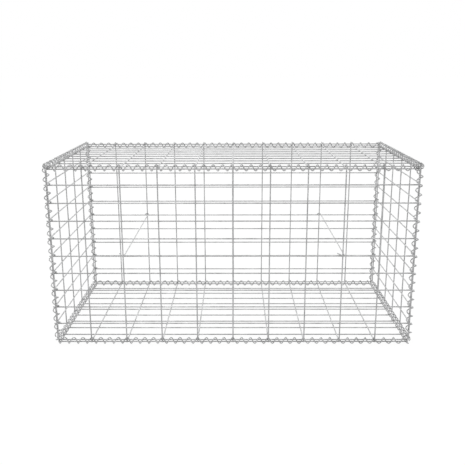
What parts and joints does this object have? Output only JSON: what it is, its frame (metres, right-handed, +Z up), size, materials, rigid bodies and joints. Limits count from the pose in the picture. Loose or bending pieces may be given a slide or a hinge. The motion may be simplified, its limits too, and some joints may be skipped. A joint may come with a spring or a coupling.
{
  "type": "gabion basket",
  "caption": "Empty rectangular gabion basket of welded galvanised wire mesh panels, laced along every edge by wire spirals and braced by cross ties.",
  "frame": {"origin": "on the ground under the middle of the basket, at the height of the underside of the base front and back spirals", "axes": "+X along the basket's length to its right end, +Y from the front panel to the back panel, +Z up"},
  "size_m": [1.0266, 0.523, 0.5253],
  "materials": {
    "galvanised_mesh": "galvanised",
    "galvanised_spiral": "galvanised",
    "galvanised_tie": "galvanised"
  },
  "bodies": {
    "root": {"front_panel": "galvanised_mesh", "back_panel": "galvanised_mesh", "left_panel": "galvanised_mesh", "right_panel": "galvanised_mesh", "base_panel": "galvanised_mesh", "lid_panel": "galvanised_mesh", "spiral_base_front": "galvanised_spiral", "spiral_base_back": "galvanised_spiral", "spiral_base_left": "galvanised_spiral", "spiral_base_right": "galvanised_spiral", "spiral_lid_front": "galvanised_spiral", "spiral_lid_back": "galvanised_spiral", "spiral_lid_left": "galvanised_spiral", "spiral_lid_right": "galvanised_spiral", "spiral_front_left": "galvanised_spiral", "spiral_front_right": "galvanised_spiral", "spiral_back_left": "galvanised_spiral", "spiral_back_right": "galvanised_spiral", "tie_left": "galvanised_tie", "tie_right": "galvanised_tie"}
  },
  "joints": []
}
